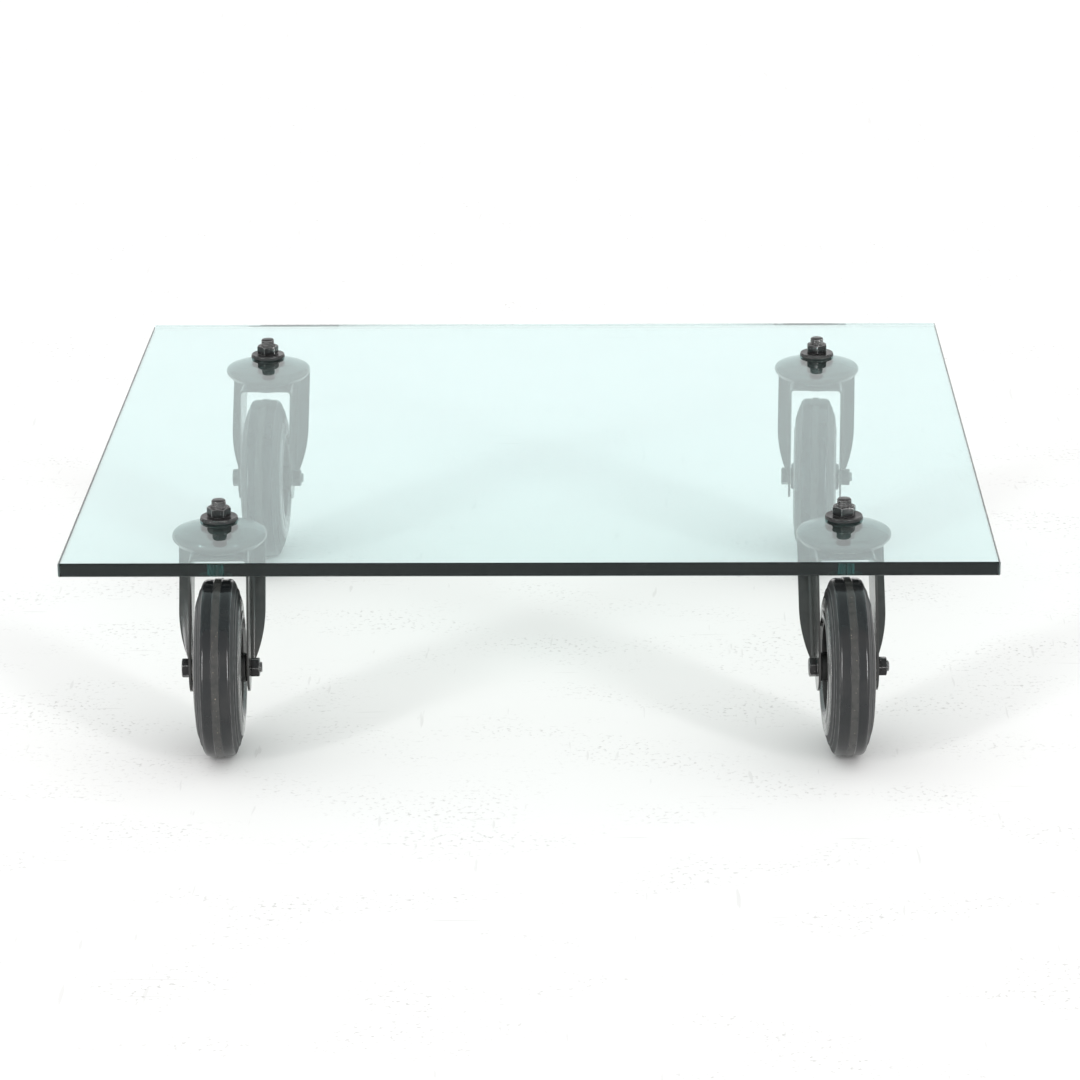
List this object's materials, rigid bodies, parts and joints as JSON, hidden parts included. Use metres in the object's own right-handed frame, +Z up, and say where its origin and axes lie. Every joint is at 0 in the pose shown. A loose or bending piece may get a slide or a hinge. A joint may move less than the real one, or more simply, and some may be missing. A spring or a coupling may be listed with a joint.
{
  "type": "coffee table with wheels",
  "caption": "Low square coffee table: a clear glass slab carried by large black swivel casters with rubber tyres, one bolted under each corner.",
  "frame": {"origin": "on the floor under the middle of the glass top", "axes": "+Z up, +X to the right of someone standing in front, -Y towards the front; at rest every wheel trails towards -Y"},
  "size_m": [1, 1, 0.2726],
  "materials": {
    "clear_glass": "polished, faint green",
    "blackened_steel": "black oxide, edges worn bright",
    "black_paint": "satin black enamel",
    "gasket_rubber": "matt",
    "bush_plastic": "matt",
    "bright_steel": "zinc plated or ground",
    "bearing_bronze": "sintered",
    "rim_steel": "light grey, satin",
    "tyre_rubber": "satin, used"
  },
  "bodies": {
    "table": {"glass_top": "clear_glass", "glass_bushes": "bush_plastic", "top_gaskets": "gasket_rubber", "top_washers": "blackened_steel", "top_nuts": "blackened_steel", "front_left_mounting_bolt": "blackened_steel", "front_left_swivel_cap": "black_paint", "front_left_retaining_ring": "blackened_steel", "front_right_mounting_bolt": "blackened_steel", "front_right_swivel_cap": "black_paint", "front_right_retaining_ring": "blackened_steel", "rear_left_mounting_bolt": "blackened_steel", "rear_left_swivel_cap": "black_paint", "rear_left_retaining_ring": "blackened_steel", "rear_right_mounting_bolt": "blackened_steel", "rear_right_swivel_cap": "black_paint", "rear_right_retaining_ring": "blackened_steel"},
    "front_left_caster": {"front_left_fork": "black_paint", "front_left_race_plate": "blackened_steel", "front_left_swivel_balls": "bright_steel", "front_left_axle_bolt": "blackened_steel", "front_left_axle_nut": "blackened_steel", "front_left_axle_sleeve": "bright_steel"},
    "front_left_wheel": {"front_left_tyre": "tyre_rubber", "front_left_rim": "rim_steel", "front_left_wheel_disc": "black_paint", "front_left_wheel_bearings": "bearing_bronze"},
    "front_right_caster": {"front_right_fork": "black_paint", "front_right_race_plate": "blackened_steel", "front_right_swivel_balls": "bright_steel", "front_right_axle_bolt": "blackened_steel", "front_right_axle_nut": "blackened_steel", "front_right_axle_sleeve": "bright_steel"},
    "front_right_wheel": {"front_right_tyre": "tyre_rubber", "front_right_rim": "rim_steel", "front_right_wheel_disc": "black_paint", "front_right_wheel_bearings": "bearing_bronze"},
    "rear_left_caster": {"rear_left_fork": "black_paint", "rear_left_race_plate": "blackened_steel", "rear_left_swivel_balls": "bright_steel", "rear_left_axle_bolt": "blackened_steel", "rear_left_axle_nut": "blackened_steel", "rear_left_axle_sleeve": "bright_steel"},
    "rear_left_wheel": {"rear_left_tyre": "tyre_rubber", "rear_left_rim": "rim_steel", "rear_left_wheel_disc": "black_paint", "rear_left_wheel_bearings": "bearing_bronze"},
    "rear_right_caster": {"rear_right_fork": "black_paint", "rear_right_race_plate": "blackened_steel", "rear_right_swivel_balls": "bright_steel", "rear_right_axle_bolt": "blackened_steel", "rear_right_axle_nut": "blackened_steel", "rear_right_axle_sleeve": "bright_steel"},
    "rear_right_wheel": {"rear_right_tyre": "tyre_rubber", "rear_right_rim": "rim_steel", "rear_right_wheel_disc": "black_paint", "rear_right_wheel_bearings": "bearing_bronze"}
  },
  "joints": [
    {"name": "front_left_swivel", "type": "hinge", "parent": "table", "child": "front_left_caster", "pos_m": [-0.342, -0.342, 0.204], "axis": [0, 0, 1], "continuous": true},
    {"name": "front_left_roll", "type": "hinge", "parent": "front_left_caster", "child": "front_left_wheel", "pos_m": [-0.34021, -0.39897, 0.098], "axis": [0.9995, 0.0314, 0], "continuous": true},
    {"name": "front_right_swivel", "type": "hinge", "parent": "table", "child": "front_right_caster", "pos_m": [0.342, -0.342, 0.204], "axis": [0, 0, 1], "continuous": true},
    {"name": "front_right_roll", "type": "hinge", "parent": "front_right_caster", "child": "front_right_wheel", "pos_m": [0.34439, -0.39895, 0.098], "axis": [0.9991, 0.0419, 0], "continuous": true},
    {"name": "rear_left_swivel", "type": "hinge", "parent": "table", "child": "rear_left_caster", "pos_m": [-0.342, 0.342, 0.204], "axis": [0, 0, 1], "continuous": true},
    {"name": "rear_left_roll", "type": "hinge", "parent": "rear_left_caster", "child": "rear_left_wheel", "pos_m": [-0.34319, 0.28501, 0.098], "axis": [0.9998, -0.0209, 0], "continuous": true},
    {"name": "rear_right_swivel", "type": "hinge", "parent": "table", "child": "rear_right_caster", "pos_m": [0.342, 0.342, 0.204], "axis": [0, 0, 1], "continuous": true},
    {"name": "rear_right_roll", "type": "hinge", "parent": "rear_right_caster", "child": "rear_right_wheel", "pos_m": [0.33892, 0.28508, 0.098], "axis": [0.9985, -0.0541, 0], "continuous": true}
  ]
}
